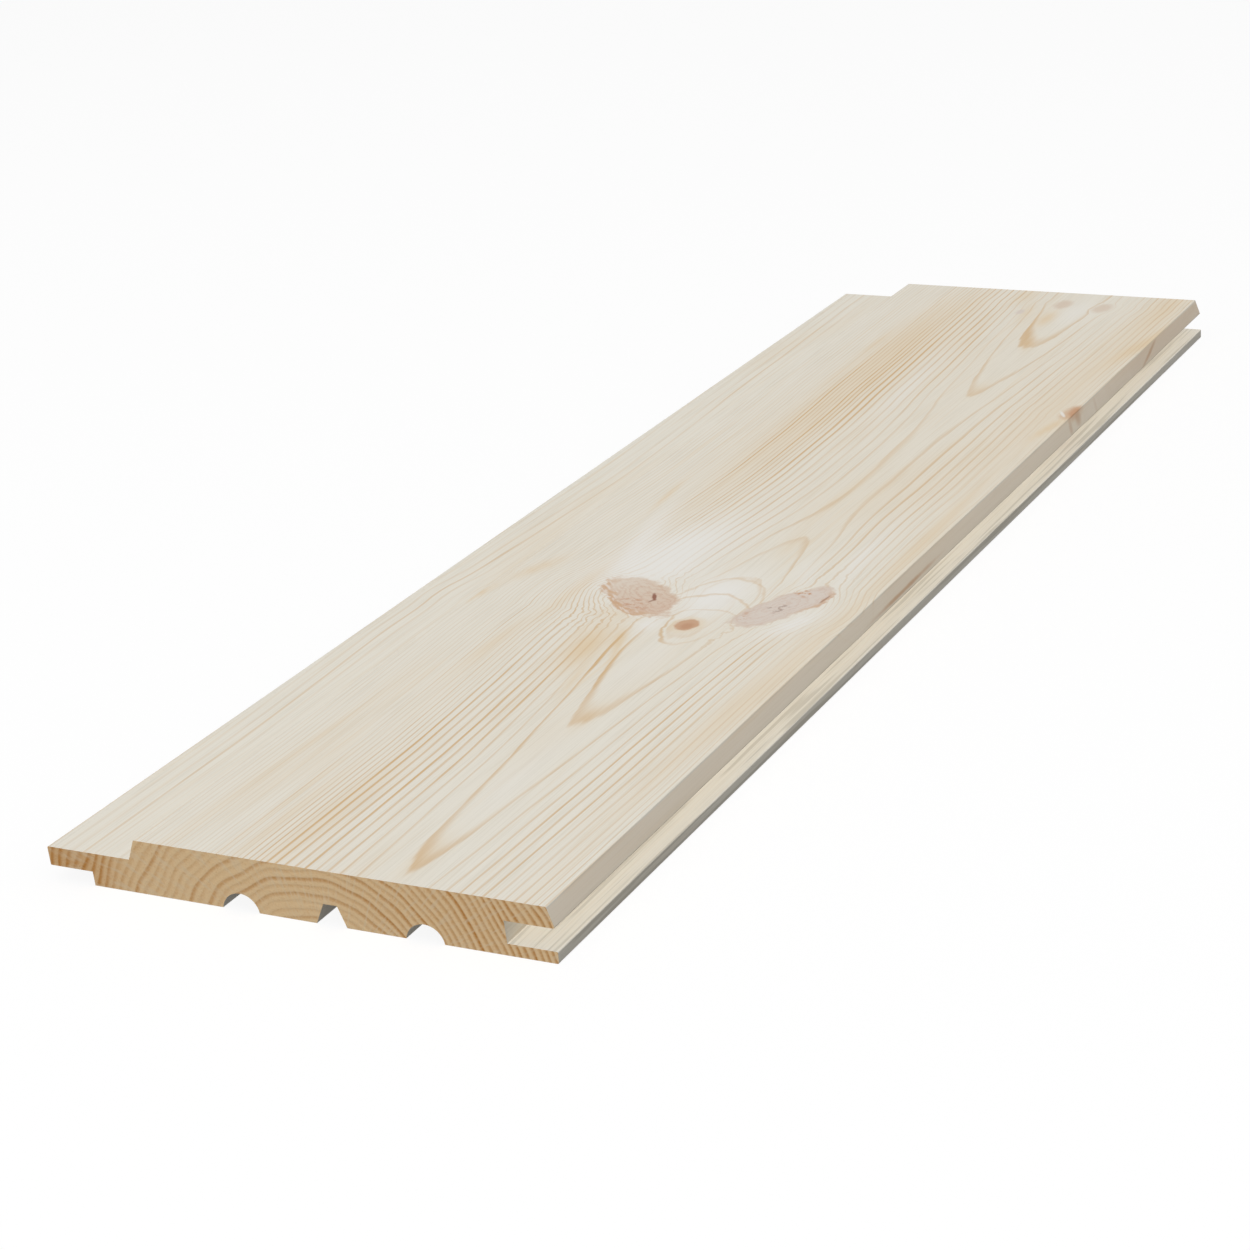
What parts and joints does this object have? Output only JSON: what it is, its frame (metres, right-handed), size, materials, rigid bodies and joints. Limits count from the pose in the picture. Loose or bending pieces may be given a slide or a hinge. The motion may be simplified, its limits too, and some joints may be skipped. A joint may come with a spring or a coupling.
{
  "type": "shadow gap panelling board",
  "caption": "Planed softwood panelling board with a long tongue, a groove with bevelled lips and relief grooves in the back; boards join into a wall with a sunken strip between faces.",
  "frame": {"origin": "middle of the back of the board, on the plane that it lies on", "axes": "+X across the board from the tongue to the groove, +Y along its length, +Z from the back to the face"},
  "size_m": [0.12, 0.442, 0.012],
  "materials": {
    "spruce": "planed, unfinished"
  },
  "bodies": {
    "root": {"panel_board": "spruce"}
  },
  "joints": []
}
